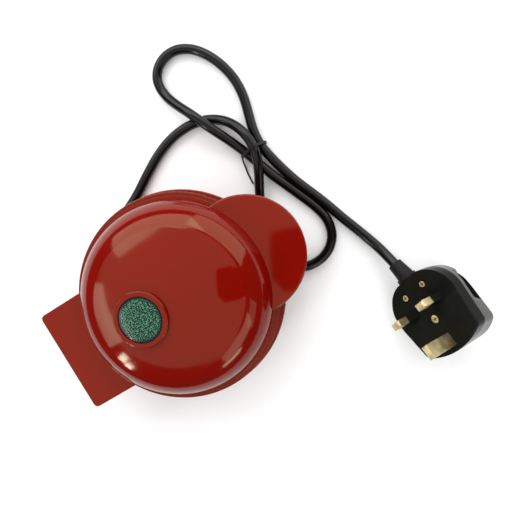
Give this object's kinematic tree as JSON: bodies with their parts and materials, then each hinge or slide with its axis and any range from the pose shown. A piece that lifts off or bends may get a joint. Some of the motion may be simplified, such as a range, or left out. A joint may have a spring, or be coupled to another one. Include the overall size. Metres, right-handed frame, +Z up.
{
  "type": "mini waffle maker",
  "caption": "Small round countertop waffle maker with a domed hinged lid, crescent handles, waffle plates, an indicator window and a tied mains lead with plug.",
  "frame": {"origin": "on the resting surface under the vertical axis of the round cooking plates", "axes": "+Z up, +Y towards the hinge, -Y towards the handles, +X to the side where the mains lead leaves the base"},
  "size_m": [0.2536, 0.236, 0.0713],
  "materials": {
    "red_plastic": "glossy",
    "black_plastic": "satin",
    "plate_coating": "matte",
    "steel": "satin",
    "brass": "polished",
    "rubber": "matte",
    "cord_sheath": "satin",
    "core_insulation": "satin",
    "tie_wire": "satin",
    "green_lens": "glossy",
    "lamp_glass": "glossy",
    "fuse_ceramic": "satin"
  },
  "bodies": {
    "root": {"base_shell": "red_plastic", "lower_ring": "black_plastic", "lower_plate": "plate_coating", "lower_element": "steel", "lower_reflector": "steel", "lower_plate_screws": "steel", "thermostat": "steel", "thermal_fuse": "steel", "fuse_clip": "steel", "terminal_block": "black_plastic", "supply_cores": "core_insulation", "bottom_cover": "black_plastic", "cover_screws": "steel", "rubber_feet": "rubber", "hinge_pins": "steel", "base_lead": "cord_sheath", "cord_relief": "rubber", "mains_cord": "cord_sheath", "cord_tie": "tie_wire", "plug_base": "black_plastic", "plug_cover": "black_plastic", "cord_grip": "black_plastic", "plug_sleeve": "rubber", "plug_fuse": "fuse_ceramic", "plug_cover_screw": "brass", "cord_grip_screws": "brass", "line_pin": "brass", "neutral_pin": "brass", "earth_pin": "brass"},
    "lid": {"lid_shell": "red_plastic", "upper_ring": "black_plastic", "upper_plate": "plate_coating", "upper_element": "steel", "upper_reflector": "steel", "upper_plate_screws": "steel", "indicator_lens": "green_lens", "lens_seal": "rubber", "indicator_lamp": "lamp_glass", "lamp_holder": "black_plastic", "lid_lead": "cord_sheath"}
  },
  "joints": [
    {"name": "lid_hinge", "type": "hinge", "parent": "root", "child": "lid", "pos_m": [0, 0.078, 0.0316], "axis": [-1, 0, 0], "range_deg": [0, 100]}
  ]
}
